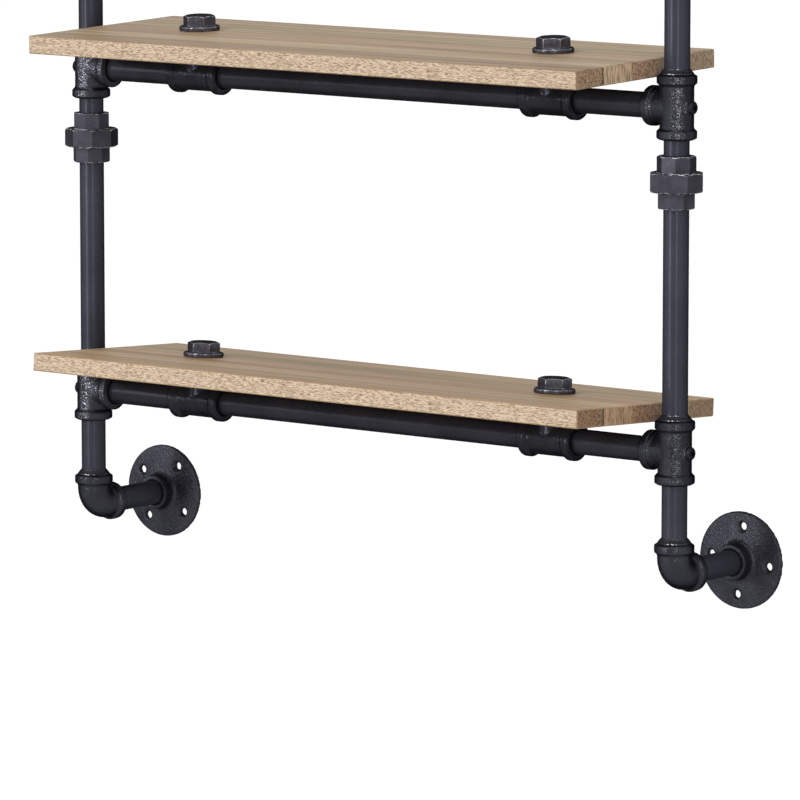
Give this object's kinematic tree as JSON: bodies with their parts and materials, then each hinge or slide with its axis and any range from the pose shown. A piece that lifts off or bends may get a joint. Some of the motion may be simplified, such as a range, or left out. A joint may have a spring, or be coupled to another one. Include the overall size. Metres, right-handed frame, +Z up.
{
  "type": "pipe shelving unit",
  "caption": "Wall-mounted shelving unit: wooden boards plugged to black iron pipe rails that run between pipe uprights on wall flanges.",
  "frame": {"origin": "on the wall plane, midway between the four wall flanges", "axes": "X along the boards to the right as seen from the room, Y into the wall, Z up"},
  "size_m": [0.731, 0.214, 0.7184],
  "materials": {
    "pipe_black": "satin charcoal powder coat on steel pipe",
    "fitting_black": "charcoal coat over sand-cast malleable iron, slightly pitted",
    "plug_black": "glossier near-black coat on turned plugs",
    "bolt_black": "black oxide button head bolts",
    "insert_steel": "plain turned steel, hidden",
    "seal_fibre": "fibre sealing ring, hidden",
    "board_oak": "light oak look, fine streaked grain, clear matt finish"
  },
  "bodies": {
    "uprights": {"left_lower_wall_flange": "fitting_black", "left_lower_wall_nipple": "pipe_black", "left_lower_elbow": "fitting_black", "left_bottom_pipe": "pipe_black", "left_lower_tee": "fitting_black", "left_middle_pipe": "pipe_black", "left_union_lower_tail": "fitting_black", "left_union_seal": "seal_fibre", "left_union_upper_tail": "fitting_black", "left_close_nipple": "pipe_black", "left_upper_tee": "fitting_black", "left_top_pipe": "pipe_black", "left_upper_elbow": "fitting_black", "left_upper_wall_nipple": "pipe_black", "left_upper_wall_flange": "fitting_black", "right_lower_wall_flange": "fitting_black", "right_lower_wall_nipple": "pipe_black", "right_lower_elbow": "fitting_black", "right_bottom_pipe": "pipe_black", "right_lower_tee": "fitting_black", "right_middle_pipe": "pipe_black", "right_union_lower_tail": "fitting_black", "right_union_seal": "seal_fibre", "right_union_upper_tail": "fitting_black", "right_close_nipple": "pipe_black", "right_upper_tee": "fitting_black", "right_top_pipe": "pipe_black", "right_upper_elbow": "fitting_black", "right_upper_wall_nipple": "pipe_black", "right_upper_wall_flange": "fitting_black"},
    "left_union_nut": {"left_union_nut": "fitting_black"},
    "right_union_nut": {"right_union_nut": "fitting_black"},
    "lower_shelf": {"lower_board": "board_oak", "lower_left_rail_tee": "fitting_black", "lower_right_rail_tee": "fitting_black", "lower_left_end_pipe": "pipe_black", "lower_right_end_pipe": "pipe_black", "lower_centre_pipe": "pipe_black", "lower_left_board_plug": "plug_black", "lower_right_board_plug": "plug_black", "lower_rail_bolts": "bolt_black", "lower_rail_inserts": "insert_steel"},
    "upper_shelf": {"upper_board": "board_oak", "upper_left_rail_tee": "fitting_black", "upper_right_rail_tee": "fitting_black", "upper_left_end_pipe": "pipe_black", "upper_right_end_pipe": "pipe_black", "upper_centre_pipe": "pipe_black", "upper_left_board_plug": "plug_black", "upper_right_board_plug": "plug_black", "upper_rail_bolts": "bolt_black", "upper_rail_inserts": "insert_steel"}
  },
  "joints": [
    {"name": "lower_shelf_swivel", "type": "hinge", "parent": "uprights", "child": "lower_shelf", "pos_m": [0, -0.102, -0.2111], "axis": [1, 0, 0], "range_deg": [-6, 13]},
    {"name": "upper_shelf_swivel", "type": "hinge", "parent": "uprights", "child": "upper_shelf", "pos_m": [0, -0.102, 0.0817], "axis": [1, 0, 0], "range_deg": [-12, 8]},
    {"name": "left_union_nut_turn", "type": "hinge", "parent": "uprights", "child": "left_union_nut", "pos_m": [-0.323, -0.102, 0.0183], "axis": [0, 0, 1], "range_deg": [0, 90]},
    {"name": "right_union_nut_turn", "type": "hinge", "parent": "uprights", "child": "right_union_nut", "pos_m": [0.323, -0.102, 0.0183], "axis": [0, 0, 1], "range_deg": [0, 90]}
  ]
}
